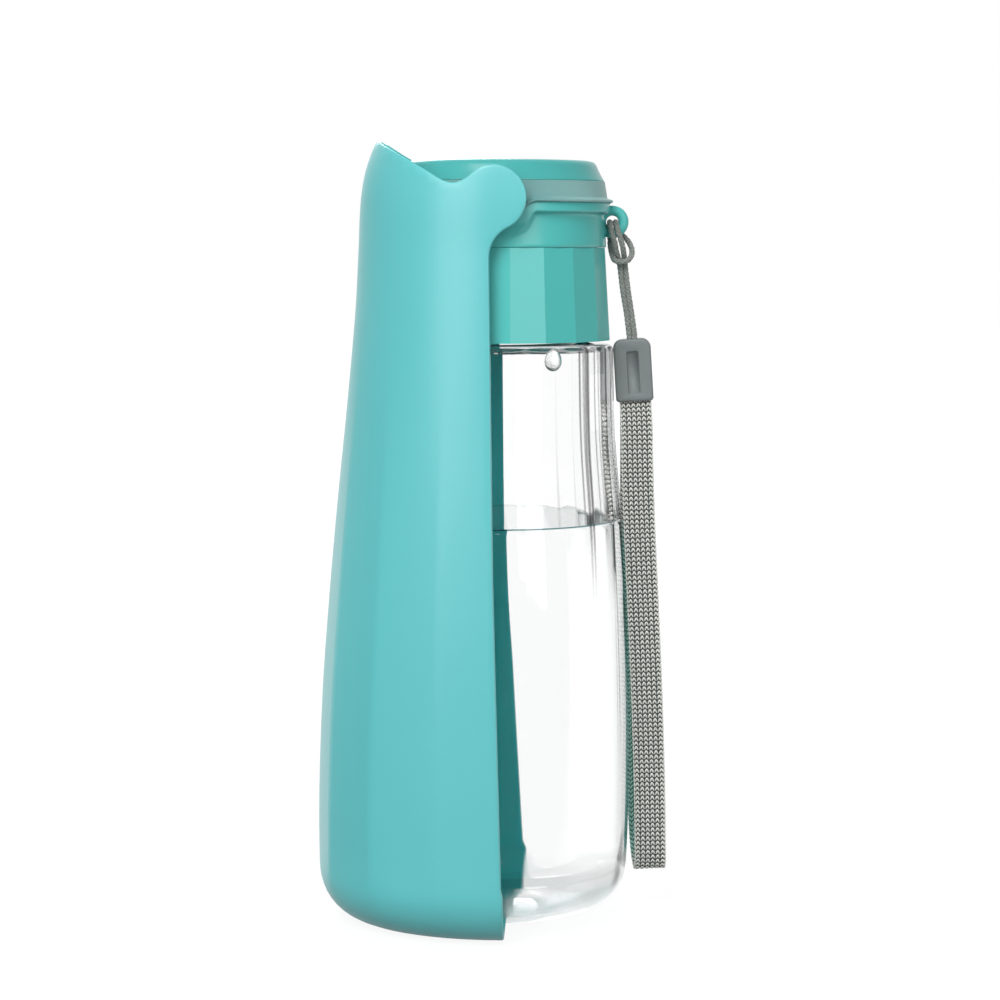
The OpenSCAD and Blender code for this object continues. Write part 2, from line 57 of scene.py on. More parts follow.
eye = bpy.data.cameras.new("camera")
eye.sensor_width = 36
eye.lens = eye.sensor_width * focal_pixels / photo_side
eye.clip_start = 0.05
eye.clip_end = 30
camera = bpy.data.objects.new("camera", eye)
turn = math.radians(eye_azimuth)
aside = math.atan((photo_side / 2 - axis_column) / focal_pixels)
camera.location = Vector((eye_distance * math.sin(turn), -eye_distance * math.cos(turn), eye_height)) / 1000
camera.rotation_euler = (math.radians(90 - eye_drop), 0, turn - aside)
bpy.context.scene.collection.objects.link(camera)
bpy.context.scene.camera = camera
bpy.context.scene.view_settings.view_transform = "Standard"
# Light crosses bottle and water many times before it gets out of the foot.
bpy.context.scene.cycles.max_bounces = 32
bpy.context.scene.cycles.glossy_bounces = 16
bpy.context.scene.cycles.transmission_bounces = 32

# -------------------------------------------------------------- strap cord
# Braided polyester cord of 1.5 mm, about 0.12 m long. Both its ends are held in
# the clip, and its bight goes through the eyelet and round its own two strands.
cord_d = 1.5
eyelet = (31.6, 0, 195.6)
# Route of the cord's middle, from the middle of the eyelet, given point by point.
cord_steps = [
    (5.35, 0, -38.6), (5, 0, -33.1), (4.1, 0, -25.6), (2.95, 0, -18.6), (2, -0.1, -11.2),
    (1.1, -1.6, -8.1), (0.7, -2.5, -5.8), (-0.1, -2.6, -3.3), (-0.7, -1.7, -0.8),
    (-0.7, 0, 0), (-0.7, 1.7, -0.8), (-0.6, 2.6, -3.6), (-0.5, 2.4, -6.6), (0, 0.4, -9.05),
    (0.8, -1.9, -10.6), (3, -2.2, -10.9), (4.8, -1, -10.1), (5.5, 1, -8),
    (4.5, 2.5, -5.4), (2, 2.7, -2.8), (0.9, 1.7, -0.8), (0.9, 0, 0),
    (1.1, -1.7, -0.8), (1.8, -2.7, -3.3), (2.6, -2.6, -5.8), (3.1, -1.5, -8.1),
    (3.45, 0.3, -10.8), (4.4, 0, -18.6), (5.5, 0, -25.6), (6.5, 0, -33.1), (6.85, 0, -38.6)]


def smooth_route(points, step):
    """Points every step along the smooth curve through these points."""
    p = [Vector(q) for q in points]
    fine = []
    for i in range(len(p) - 1):
        a, b, c, d = p[max(0, i - 1)], p[i], p[i + 1], p[min(len(p) - 1, i + 2)]
        for k in range(20):
            t = k / 20
            fine.append(0.5 * (2 * b + (c - a) * t + (2 * a - 5 * b + 4 * c - d) * t * t
                               + (3 * b - a - 3 * c + d) * t ** 3))
    fine.append(p[-1])
    at = np.array([tuple(v) for v in fine])
    run = np.concatenate([[0], np.cumsum(np.linalg.norm(np.diff(at, axis=0), axis=1))])
    want = np.linspace(0, run[-1], int(run[-1] / step) + 1)
    return [Vector(v) for v in np.stack([np.interp(want, run, at[:, k]) for k in range(3)], 1)], run[-1]


def directions(points):
    return [(points[min(len(points) - 1, i + 1)] - points[max(0, i - 1)]).normalized()
            for i in range(len(points))]


def carried_sides(points, first):
    """Side direction at each point, carried along so that it doesn't twist."""
    side, out = Vector(first), []
    for d in directions(points):
        side = (side - d * side.dot(d)).normalized()
        out.append(side)
    return out


def mesh_object(name, points, faces, material, smooth=True):
    """Object of points in millimetres, with outward normals and smooth faces."""
    mesh = bpy.data.meshes.new(name)
    mesh.from_pydata([tuple(c / 1000 for c in p) for p in points], [], faces)
    bm = bmesh.new()
    bm.from_mesh(mesh)
    bmesh.ops.remove_doubles(bm, verts=bm.verts, dist=1e-7)
    bmesh.ops.recalc_face_normals(bm, faces=bm.faces)
    bm.to_mesh(mesh)
    bm.free()
    mesh.shade_smooth() if smooth else mesh.shade_flat()
    mesh.materials.append(material)
    piece = bpy.data.objects.new(name, mesh)
    bpy.context.scene.collection.objects.link(piece)
    return piece


def tube(rings, start):
    """Faces that join rings of points in order, with a cap on both ends."""
    n = len(rings[0])
    faces = [tuple(start + i for i in range(n))[::-1],
             tuple(start + (len(rings) - 1) * n + i for i in range(n))]
    for k in range(len(rings) - 1):
        for i in range(n):
            j = (i + 1) % n
            a = start + k * n
            faces.append((a + i, a + j, a + n + j, a + n + i))
    return faces


def linear(code):
    """Colour of a hex code, as Blender's linear values."""
    parts = [int(code[i:i + 2], 16) / 255 for i in (1, 3, 5)]
    return [p / 12.92 if p <= 0.04045 else ((p + 0.055) / 1.055) ** 2.4 for p in parts] + [1]


def add(tree, kind, inputs=(), **settings):
    """Adds a node with its settings; an input is a value or another node's output."""
    made = tree.nodes.new(kind)
    for name, value in settings.items():
        setattr(made, name, value)
    for key, value in dict(inputs).items():
        if isinstance(value, bpy.types.NodeSocket):
            tree.links.new(value, made.inputs[key])
        else:
            made.inputs[key].default_value = value
    return made


def blend(tree, share, first, second, kind="RGBA"):
    """Colour between two others, or a number where the kind is FLOAT."""
    return add(tree, "ShaderNodeMix", {"Factor": share, "A": first, "B": second},
               data_type=kind).outputs["Result"]


def noise(tree, place, scale, detail):
    return add(tree, "ShaderNodeTexNoise", {"Vector": place, "Scale": scale, "Detail": detail}).outputs["Fac"]


def paint(tree, surface, share, first, second):
    """Base colour between two hex colours."""
    colour = blend(tree, share, linear(first), linear(second))
    tree.links.new(colour, surface.inputs["Base Color"])


def emboss(tree, surface, height, strength, distance):
    """Fine relief of this height, in metres."""
    bump = add(tree, "ShaderNodeBump", {"Height": height, "Strength": strength, "Distance": distance})
    tree.links.new(bump.outputs["Normal"], surface.inputs["Normal"])


def new_material(name, values):
    """Material with its tree, its surface with these values, and the place on the object."""
    material = bpy.data.materials.new(name)
    material.use_nodes = True
    tree = material.node_tree
    surface = tree.nodes["Principled BSDF"]
    for key, value in values.items():
        surface.inputs[key].default_value = value
    return material, tree, surface, add(tree, "ShaderNodeTexCoord").outputs["Object"]


def around(n):
    """Angles of n places round a circle."""
    return [2 * math.pi * k / n for k in range(n)]


# Matt polyester yarn: fine fibres give it a soft sheen and no gloss.
cord_yarn, tree, surface, place = new_material("polyester_cord_yarn",
                                               {"Roughness": 0.75, "Sheen Weight": 0.25})
fibres = noise(tree, place, 4000, 2)
paint(tree, surface, fibres, "#6e736f", "#a3a7a2")
emboss(tree, surface, fibres, 0.5, 0.0001)

cord_step = 0.22
braid_pitch = 5.2
strands_each_way = 4
strand_half_w = 0.32
strand_half_t = 0.2
strand_sink = 0.18
weave = 0.055
core_r = cord_d / 2 - 0.22
cord_line, cord_length = smooth_route([Vector(p) + Vector(eyelet) for p in cord_steps], cord_step)
line_dirs = directions(cord_line)
line_sides = carried_sides(cord_line, (1, 0, 0))
points, faces = [], []
for way in (-1, 1):
    for strand in range(strands_each_way):
        rings = []
        for i, middle in enumerate(cord_line):
            turned = 2 * math.pi * (way * i * cord_step / braid_pitch + strand / strands_each_way)
            over = weave * way * math.cos(4 * turned * way + math.pi * strand)
            u = line_sides[i]
            out = u * math.cos(turned) + line_dirs[i].cross(u) * math.sin(turned)
            round_about = line_dirs[i].cross(out)
            centre = middle + out * (cord_d / 2 - strand_sink + over)
            rings.append([centre + out * strand_half_t * math.cos(a)
                          + round_about * strand_half_w * math.sin(a) for a in around(6)])
        faces += tube(rings, len(points))
        points += [p for r in rings for p in r]
rings = [[m + core_r * (u * math.cos(a) + d.cross(u) * math.sin(a)) for a in around(8)]
         for m, u, d in zip(cord_line, line_sides, line_dirs)]
faces += tube(rings, len(points))
points += [p for r in rings for p in r]
cord_piece = mesh_object("braided_cord", points, faces, cord_yarn)
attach(cord_piece, "strap")
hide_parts("strap_cord")

# ----------------------------------------------------------- strap webbing
# Flat knitted polyester tape, 8.9 mm wide, folded into one hanging loop of
# about 0.29 m whose two ends are held in the clip. The knit shows as columns
# of small V stitches, light yarn over a darker ground.
webbing_w = 8.9
webbing_t = 1.1
webbing_lean = math.radians(2.4)
clip_low = 146.1
clip_middle = 38.1
webbing_route = [
    (37.5, -0.65, 156), (37.95, -0.65, 149), (38.3, -0.75, 145), (38.65, -2.4, 138),
    (38.85, -3.4, 128), (39.45, -3.8, 112), (40.55, -3.9, 90), (41.7, -3.9, 66),
    (42.62, -3.7, 40), (42.95, -3.4, 24), (43.05, -2.9, 18), (42.95, -1.4, 14.9),
    (42.75, 0.8, 14.2), (42.35, 3.6, 15.6), (41.9, 6, 19), (41.4, 7.8, 26),
    (40.95, 9, 40), (40.3, 9.2, 66), (39.4, 8.7, 90), (38.6, 7.4, 112), (38.5, 5.4, 128),
    (38.45, 3.2, 138), (38.3, 0.75, 145), (37.95, 0.65, 149), (37.5, 0.65, 156)]


def ring_mesh(name, rings, material):
    return mesh_object(name, [p for r in rings for p in r], tube(rings, 0), material)


def ramp(tree, value, low, high, first=0, last=1):
    """Output that goes from first to last while the value goes from low to high."""
    return add(tree, "ShaderNodeMapRange", {0: value, "From Min": low, "From Max": high,
                                            "To Min": first, "To Max": last}).outputs[0]


def calc(tree, operation, *values):
    """Output of one step of arithmetic on numbers or other nodes' outputs."""
    return add(tree, "ShaderNodeMath", dict(enumerate(values)), operation=operation).outputs[0]


def apart(tree, place):
    """Outputs X, Y and Z of a place or direction."""
    return add(tree, "ShaderNodeSeparateXYZ", {0: place}).outputs


def painted_teal_reflection(tree, place, colour, code):
    """Colour with painted teal light, as reflected from the trough, on the loop's inner side behind, below
    the water's height.
    """
    at = apart(tree, place)
    faces = apart(tree, add(tree, "ShaderNodeNewGeometry").outputs["Normal"])
    share = ramp(tree, at["Z"], 0.104, 0.114, 0.7, 0)
    for mask in (ramp(tree, at["Y"], 0.003, 0.005), ramp(tree, faces["Y"], -0.5, -0.2, 1, 0)):
        share = calc(tree, "MULTIPLY", share, mask)
    return blend(tree, share, colour, linear(code))


webbing_ground, tree, surface, place = new_material("polyester_webbing_ground", {"Roughness": 0.85})
shade = blend(tree, noise(tree, place, 2500, 3), linear("#2f3533"), linear("#535a57"))
# The loop's inner side behind gets painted teal light, as reflected from the trough.
tree.links.new(painted_teal_reflection(tree, place, shade, "#3f8a7d"), surface.inputs["Base Color"])

# Texturised polyester yarn of the stitches: light grey and slightly glossy.
webbing_yarn, tree, surface, place = new_material("polyester_webbing_yarn",
                                                  {"Roughness": 0.6, "Sheen Weight": 0.2})
shade = blend(tree, noise(tree, place, 1800, 3), linear("#b9bbb4"), linear("#f6f6f0"))
# The stitches there get the same painted teal light.
tree.links.new(painted_teal_reflection(tree, place, shade, "#86cdbf"), surface.inputs["Base Color"])

webbing_step = 0.65
ground_t = webbing_t - 0.5
ground_inset = 0.12
webbing_line, webbing_length = smooth_route(webbing_route, webbing_step)
across_first = Vector((math.cos(webbing_lean), 0, math.sin(webbing_lean)))
webbing_dirs = directions(webbing_line)
webbing_across = [(across_first - d * across_first.dot(d)).normalized() for d in webbing_dirs]
webbing_faces = [d.cross(a) for d, a in zip(webbing_dirs, webbing_across)]
profile = [(1, 0.5), (0.97, 1), (-0.97, 1), (-1, 0.5), (-1, -0.5), (-0.97, -1), (0.97, -1), (1, -0.5)]
rings = [[m + u * c[0] * (webbing_w / 2 - ground_inset) + v * c[1] * ground_t / 2 for c in profile]
         for m, u, v in zip(webbing_line, webbing_across, webbing_faces)]
webbing_piece = ring_mesh("knitted_webbing", rings, webbing_ground)

# One guide point for each leg of a stitch, with its directions, for the stitching tree.
wale = 1.38
row_step = 2
leg_off = 0.2 * wale
leg_turn = math.radians(24)
selvedge = 0.25
wales = [(k - 2.5) * wale for k in range(6)]
spots, ups, outs = [], [], []
for i in range(1, len(webbing_line) - 1, row_step):
    middle, across, face = webbing_line[i], webbing_across[i], webbing_faces[i]
    for side in (-1, 1):
        for column in wales:
            for leg in (-1, 1):
                spots.append(middle + across * (column + leg * leg_off) + face * side * (ground_t / 2 + 0.03))
                ups.append(webbing_dirs[i] * math.cos(leg_turn) + across * leg * math.sin(leg_turn))
                outs.append(face * side)
        for edge in (-1, 1):
            spots.append(middle + across * edge * (webbing_w / 2 - selvedge)
                         + face * side * (ground_t / 2 - 0.08))
            ups.append(webbing_dirs[i])
            outs.append(face * side)
guide = bpy.data.meshes.new("stitch_guide")
guide.from_pydata([tuple(s / 1000) for s in spots], [], [])
for name, values in (("up", ups), ("out", outs)):
    field = guide.attributes.new(name, "FLOAT_VECTOR", "POINT")
    field.data.foreach_set("vector", [c for v in values for c in v])
stitches = bpy.data.objects.new("stitch_guide", guide)
bpy.context.scene.collection.objects.link(stitches)


def stitch_tree():
    """Lays one small yarn leg on each guide point, turned by its two directions."""
    group = bpy.data.node_groups.new("knit_stitches", "GeometryNodeTree")
    face = group.interface
    face.new_socket("Geometry", in_out="INPUT", socket_type="NodeSocketGeometry")
    for name in ("Leg length", "Leg width", "Leg height"):
        face.new_socket(name, in_out="INPUT", socket_type="NodeSocketFloat")
    face.new_socket("Yarn", in_out="INPUT", socket_type="NodeSocketMaterial")
    face.new_socket("Geometry", in_out="OUTPUT", socket_type="NodeSocketGeometry")
    given = add(group, "NodeGroupInput").outputs
    ball = add(group, "GeometryNodeMeshUVSphere", {"Segments": 5, "Rings": 4, "Radius": 1}).outputs["Mesh"]
    size = add(group, "ShaderNodeCombineXYZ",
               {"X": given["Leg width"], "Y": given["Leg height"], "Z": given["Leg length"]}).outputs[0]
    leg = add(group, "GeometryNodeTransform", {"Geometry": ball, "Scale": size}).outputs["Geometry"]
    up = add(group, "GeometryNodeInputNamedAttribute", {"Name": "up"}, data_type="FLOAT_VECTOR")
    out = add(group, "GeometryNodeInputNamedAttribute", {"Name": "out"}, data_type="FLOAT_VECTOR")
    turned = add(group, "FunctionNodeAxesToRotation",
                 {0: up.outputs["Attribute"], 1: out.outputs["Attribute"]},
                 primary_axis="Z", secondary_axis="Y").outputs["Rotation"]
    laid = add(group, "GeometryNodeInstanceOnPoints",
               {"Points": given["Geometry"], "Instance": leg, "Rotation": turned}).outputs["Instances"]
    real = add(group, "GeometryNodeRealizeInstances", {"Geometry": laid}).outputs["Geometry"]
    done = add(group, "GeometryNodeSetMaterial", {"Geometry": real, "Material": given["Yarn"]})
    add(group, "NodeGroupOutput", {"Geometry": done.outputs["Geometry"]})
    return group


def grown(source, group, values, name):
    """Plain mesh object of what the tree makes from the source, which is then gone."""
    layer = source.modifiers.new("grow", "NODES")
    layer.node_group = group
    for item in group.interface.items_tree:
        if item.in_out == "INPUT" and item.name in values:
            layer[item.identifier] = values[item.name]
    view = bpy.context.evaluated_depsgraph_get()
    mesh = bpy.data.meshes.new_from_object(source.evaluated_get(view))
    source.modifiers.clear()
    bpy.data.objects.remove(source)
    mesh.name = name
    mesh.shade_smooth()
    piece = bpy.data.objects.new(name, mesh)
    bpy.context.scene.collection.objects.link(piece)
    return piece


stitch_piece = grown(stitches, stitch_tree(),
                     {"Leg length": 0.0007, "Leg width": 0.00025, "Leg height": 0.00033,
                      "Yarn": webbing_yarn}, "webbing_stitches")
for piece in (webbing_piece, stitch_piece):
    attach(piece, "strap")
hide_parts("strap_webbing")

# -------------------------------------------------------------- strap clip
# Two moulded halves of grey nylon pressed together over the ends of cord and
# webbing, with rounded shoulders, a hair-line joint and a sunk slot each.
clip_grey, tree, surface, place = new_material("moulded_grey_nylon", {"Roughness": 0.5})
paint(tree, surface, noise(tree, place, 60, 2), "#6f7676", "#7f8686")
emboss(tree, surface, noise(tree, place, 2600, 2), 0.12, 0.0002)
clip_w = 10.4
clip_h = 17.4
clip_half = 2.5
clip_lean = math.radians(3.6)
clip_corner = 2.6
clip_foot_corner = 0.9
clip_edge = 0.8
slot_w = 3.2
slot_h = 11.6
slot_z = 8
slot_sink = 0.6


def round_rect(w, h, z, r_top, r_foot):
    """Outline of a rectangle with round corners, 32 points, as (across, height)."""
    out = []
    for corner, (side, high) in enumerate(((1, 1), (-1, 1), (-1, -1), (1, -1))):
        r = r_top if high > 0 else r_foot
        for i in range(8):
            a = math.radians(90 * corner + 90 * i / 7)
            out.append((side * (w / 2 - r) + r * math.cos(a), z + high * (h / 2 - r) + r * math.sin(a)))
    return out


def clip_ring(inset, y):
    return [(x, y, z) for x, z in round_rect(clip_w - 2 * inset, clip_h - 2 * inset, clip_h / 2,
                                             clip_corner - 0.5 * inset, clip_foot_corner - 0.1 * inset)]


for name, side in (("clip_front", -1), ("clip_back", 1)):
    rings = [clip_ring(0.15, 0.02), clip_ring(0, 0.2), clip_ring(0, clip_half - clip_edge)]
    rings += [clip_ring(clip_edge * (1 - math.cos(a)), clip_half - clip_edge * (1 - math.sin(a)))
              for a in [math.radians(x) for x in (22, 45, 68, 90)]]
    for grow, sink in ((0.25, 0), (0.07, 0.07), (0, 0.25), (0, slot_sink)):
        edge = round_rect(slot_w + 2 * grow, slot_h + 2 * grow, slot_z, 0.5 + grow, 0.5 + grow)
        rings.append([(x, clip_half - sink, z) for x, z in edge])
    rings = [[(clip_middle + x * math.cos(clip_lean) - z * math.sin(clip_lean), side * y,
               clip_low + x * math.sin(clip_lean) + z * math.cos(clip_lean)) for x, y, z in ring]
             for ring in rings]
    half = ring_mesh(name + "_moulding", rings, clip_grey)
    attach(half, "strap")
    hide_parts(name)

# ------------------------------------------------------------------ trough
# Leaf-shaped drinking trough, one injection-moulded polypropylene shell of
# 2.2 mm with a satin skin. It hangs on the head's two bosses by its ears and
# has long soft facets down its front.


def teal_plastic(name, dark, light, roughness, shine, grain_size):
    """Teal moulded polypropylene, a little cloudy, with the mould's fine grain."""
    material, tree, surface, place = new_material(name, {
        "Roughness": roughness, "Specular IOR Level": shine, "Subsurface Weight": 0.06,
        "Subsurface Radius": (0.002, 0.004, 0.004)})
    paint(tree, surface, noise(tree, place, 9, 2), dark, light)
    emboss(tree, surface, noise(tree, place, grain_size, 3), 0.05, 0.0002)
    return material


# The inside is matt and painted a deeper teal with less red, which is painted shade; the edge of the hood is
# matt in the plastic's own teal.
teal = teal_plastic("satin_teal_polypropylene", "#5ec0c3", "#67c8ca", 0.32, 0.8, 2200)
teal_inside_painted_shade = teal_plastic("matt_teal_polypropylene", "#3fc0c2", "#48c9ca", 0.9, 0.05, 1500)
teal_rim = teal_plastic("fine_matt_teal_polypropylene", "#5ec0c3", "#67c8ca", 0.9, 0.05, 1500)

hinge_z = 201.6
beak_z = 217.4
trough_wall = 2.2
floor_r = 15
reach_at = [(0, 50.5), (30, 50.8), (62, 49.7), (90, 47.6), (118, 44.995), (146, 42.028),
            (171, 39.577), (188, 38.6), (201.6, 37.9), (209.6, 36.5), (217.4, 33.7)]
half_w_at = [(0, 40.4), (30, 40.6), (62, 40.2), (90, 39.5), (118, 38.434), (146, 36.838),
             (171, 35.584), (188, 35), (201.6, 34.9), (217.4, 33.5)]


def curve(stations, z):
    """Smooth curve through stations, with slopes from the neighbours."""
    def slope(i):
        a, b = max(0, i - 1), min(len(stations) - 1, i + 1)
        return (stations[b][1] - stations[a][1]) / (stations[b][0] - stations[a][0])
    i = 0
    while i < len(stations) - 2 and z >= stations[i + 1][0]:
        i += 1
    h = stations[i + 1][0] - stations[i][0]
    t = min(1, max(0, (z - stations[i][0]) / h))
    return (stations[i][1] * (2 * t ** 3 - 3 * t * t + 1) + h * slope(i) * (t ** 3 - 2 * t * t + t)
            + stations[i + 1][1] * (3 * t * t - 2 * t ** 3) + h * slope(i + 1) * (t ** 3 - t * t))


def eased(t):
    t = min(1, max(0, t))
    return t * t * (3 - 2 * t)


facet_step = 24
facet_low = 95
facet_high = 178
facet_foot = 26
facet_depth = 0.7
u_per_degree = 0.75
widest_u = 90 * u_per_degree
wall_start = floor_r * math.pi / 2


def trough_point(u, v, depth):
    """Point of the shell at u along its section and v up its wall, depth inside its skin. u is 0
    at the front and widest_u at the widest place; v is 0 where the floor's radius starts, and
    wall_start where it ends."""
    arc = min(1, max(0, v / wall_start)) * math.pi / 2
    if v <= 0:
        z, inset = depth, floor_r - v
    else:
        z = floor_r - (floor_r - depth) * math.cos(arc) + max(0, v - wall_start)
        inset = floor_r - (floor_r - depth) * math.sin(arc)
    a, b = curve(reach_at, z) - inset, max(0, curve(half_w_at, z) - inset)
    k = facet_depth * eased((facet_high - z) / (facet_high - facet_low)) * eased(z / facet_foot)
    t = min(90, u / u_per_degree)
    t0 = math.floor(t / facet_step) * facet_step
    t1 = min(90, t0 + facet_step)
    share = (t - t0) / max(1e-6, t1 - t0)
    r, r0, r1 = math.radians(t), math.radians(t0), math.radians(t1)
    flat_x = -a * (math.cos(r0) + (math.cos(r1) - math.cos(r0)) * share)
    flat_y = b * (math.sin(r0) + (math.sin(r1) - math.sin(r0)) * share)
    x = -a * math.cos(r) * (1 - k) + flat_x * k + max(0, u - widest_u)
    y = b * math.sin(r) * (1 - k) + flat_y * k
    return Vector((x, y, z))


# The head turns inside a ball about the hinge, and the ears have flat inner faces.
hood_r = 32.1
hood_aim = Vector((0, 0, 196.8))
hood_low = 193.5
hood_blend = 5
ear_inner_r = 11
ear_inner_y = 32.2
ear_blend = 2


def trough_inside(u, v):
    """Inner face opposite a point of the skin: even wall, then ball, with flats inside the ears."""
    wall = trough_point(u, v, trough_wall)
    skin = trough_point(u, v, 0)
    hood = eased((skin.z - hood_low) / hood_blend)
    if hood > 0:
        d = hood_aim - skin
        c = skin - Vector((0, 0, hinge_z))
        b = d.dot(c)
        root = b * b - d.dot(d) * (c.dot(c) - hood_r ** 2)
        wall = wall.lerp(skin + d * max(0, (-b - math.sqrt(max(0, root))) / d.dot(d)), hood)
    ear = eased((ear_inner_r - math.hypot(skin.x, skin.z - hinge_z)) / ear_blend)
    if skin.y > ear_inner_y and ear > 0:
        wall = wall.lerp(Vector((skin.x, ear_inner_y, skin.z)), ear)
    return wall


# Rim seen from the side: floor, straight rim, fillet, ear, notch, beak and tip.
ear_r = 8.7
fillet_r = 8.7
notch_r = 6.8
rim_top_x = -1.2
rim_foot_x = 2.6
beak_slope = math.radians(30.6)
beak_line = (-31.7, 217.1)
tip_columns = (-31.9, -32.6, -33.2)
rim_round = 0.55


def beak_edge(x):
    return beak_line[1] - (x - beak_line[0]) * math.tan(beak_slope)


def arc_points(cx, cy, r, a0, a1, sign, n):
    """Points of an arc with their outward directions; sign is -1 on a hollow arc."""
    out = []
    for i in range(n + 1):
        a = math.radians(a0 + (a1 - a0) * i / n)
        out.append(((cx + r * math.cos(a), cy + r * math.sin(a)), (sign * math.cos(a), sign * math.sin(a))))
    return out


def rim_outline():
    """Side outline, drawn in by the rim's rounding, from the foot to the tip."""
    s = rim_round
    across = Vector((math.sin(beak_slope), math.cos(beak_slope)))
    down = Vector((math.cos(beak_slope), -math.sin(beak_slope)))
    notch_h = (hinge_z - beak_edge(0)) * math.cos(beak_slope) - notch_r
    notch_s = math.sqrt((ear_r + notch_r) ** 2 - notch_h ** 2)
    nx, nz = Vector((0, hinge_z)) - notch_s * down - notch_h * across
    notch_a = math.degrees(math.atan2(hinge_z - nz, -nx))
    fx = rim_top_x + fillet_r
    drop = math.sqrt((ear_r + fillet_r) ** 2 - fx * fx)
    fillet_a = math.degrees(math.atan2(drop, -fx))
    knee = (rim_top_x + (rim_foot_x - rim_top_x) * 0.3, hinge_z / 2)
    line = [((rim_foot_x - s, floor_r), (1, 0))]
    for i in range(1, 90):
        z = floor_r + i * (hinge_z - drop - floor_r - 1) / 90
        if z < knee[1]:
            x = rim_foot_x + (knee[0] - rim_foot_x) * z / knee[1]
        else:
            x = knee[0] + (rim_top_x - knee[0]) * (z - knee[1]) / (hinge_z - drop - knee[1])
        line.append(((x - s, z), (1, 0)))
    line += arc_points(fx, hinge_z - drop, fillet_r + s, 180, fillet_a, -1, 10)
    line += arc_points(0, hinge_z, ear_r - s, fillet_a - 180, 180 + notch_a, 1, 44)[1:]
    line += arc_points(nx, nz, notch_r + s, notch_a, -90 - math.degrees(beak_slope), -1, 12)[1:]
    edge = [(tuple(Vector((x, beak_edge(x))) - across * s), tuple(across))
            for x in np.linspace(line[-1][0][0], tip_columns[0], 22)[1:]]
    line += [e for e in edge if e[0][1] < beak_z - s - 0.2]
    line.append(((tip_columns[0], beak_z - s), tuple(Vector((0.3, 1)).normalized())))
    line += [((x, beak_z - s), (0, 1)) for x in tip_columns[1:]]
    return line


def u_of_x(x, v):
    """Place along the section at which the skin has this X."""
    if x >= 0:
        return widest_u + x
    low, high = 0.0, widest_u
    for _ in range(40):
        middle = (low + high) / 2
        if trough_point(middle, v, 0).x < x:
            low = middle
        else:
            high = middle
    return low


floor_v = -25.4
rim_foot_u = widest_u + rim_foot_x - rim_round
rim = []
for (x, z), out in rim_outline():
    v = z - floor_r + wall_start
    rim.append(((u_of_x(x, v), v), out))
rim.append(((0.0, beak_z - rim_round - floor_r + wall_start), (0, 1)))
foot = [((rim_foot_u, v), (1, 0)) for v in np.linspace(floor_v, wall_start, 32)[:-1]]
rim = foot + rim
middle_low = [((0.0, v), None) for v in np.linspace(rim[-1][0][1], floor_v, 122)[1:]]
bottom = [((u, floor_v), None) for u in np.linspace(0, rim_foot_u, 36)[1:-1]]
border = rim + middle_low + bottom
border_uv = np.array([p for p, _ in border])


def inside_grid(border_uv, du, dv):
    """Grid points inside the border, kept clear of it."""
    clear = 0.75
    found = []
    a, b = border_uv, np.roll(border_uv, -1, axis=0)
    for v in np.arange(floor_v + dv, border_uv[:, 1].max(), dv):
        for u in np.arange(du, border_uv[:, 0].max(), du):
            crossing = ((a[:, 1] > v) != (b[:, 1] > v))
            with np.errstate(divide="ignore", invalid="ignore"):
                at = a[:, 0] + (v - a[:, 1]) / (b[:, 1] - a[:, 1]) * (b[:, 0] - a[:, 0])
            if np.sum(crossing & (at > u)) % 2 == 0:
                continue
            ab, ap = b - a, np.array([u, v]) - a
            t = np.clip((ap * ab).sum(1) / np.maximum(1e-9, (ab * ab).sum(1)), 0, 1)
            if np.min(np.hypot(*(ap - ab * t[:, None]).T)) > clear:
                found.append((u, v))
    return found


grid = inside_grid(border_uv, 1.5, 1.9)
flat = [Vector(p) for p, _ in border] + [Vector(p) for p in grid]
cut = geometry.delaunay_2d_cdt(flat, [], [list(range(len(border)))], 1, 1e-5)
sheet_uv, sheet_faces = cut[0], cut[2]
points = [trough_point(p.x, p.y, 0) for p in sheet_uv]
points += [trough_inside(p.x, p.y) for p in sheet_uv]
n = len(sheet_uv)
faces = [tuple(f) for f in sheet_faces] + [tuple(n + i for i in f)[::-1] for f in sheet_faces]
# The rounded rim joins the skin to the inside all along the outline.
rim_rows = []
for i, ((u, v), out) in enumerate(rim):
    here, inner = trough_point(u, v, 0), trough_inside(u, v)
    through = here - inner
    r = min(rim_round, through.length * 0.45)
    through.normalize()
    push = Vector((out[0], 0, out[1]))
    push = (push - through * push.dot(through)).normalized()
    row = []
    for a in [step * math.pi / 8 for step in range(1, 5)]:
        row.append(here - through * r * (1 - math.cos(a)) + push * rim_round * math.sin(a))
    for a in [math.pi / 2 - step * math.pi / 8 for step in range(4)]:
        row.append(inner + through * r * (1 - math.cos(a)) + push * rim_round * math.sin(a))
    rim_rows.append([i] + [len(points) + k for k in range(8)] + [n + i])
    points += row
for a, b in zip(rim_rows[:-1], rim_rows[1:]):
    faces += [(a[k], a[k + 1], b[k + 1], b[k]) for k in range(9)]
other = len(points)
points += [Vector((p.x, -p.y, p.z)) for p in points]
faces += [tuple(other + i for i in f)[::-1] for f in faces]
trough_piece = mesh_object("trough_shell", points, faces, teal)
trough_piece.data.materials.append(teal_inside_painted_shade)
trough_piece.data.materials.append(teal_rim)
# Faces that look inwards are matt, and under the hood they are in the deeper teal of painted shade. In
# metres, the hood starts at the first height, and under the second one the floor's faces look up or down as
# well.
hood_foot = 0.19
floor_top = 0.012
for face in trough_piece.data.polygons:
    x, y, z = face.center
    facing = face.normal.dot(Vector((x, y, min(0, z - floor_top))).normalized())
    if z < hood_foot:
        face.material_index = 1 if facing < 0 else 0
    else:
        face.material_index = 2 if facing < 0.35 else 0
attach(trough_piece, "trough")
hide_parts("trough")

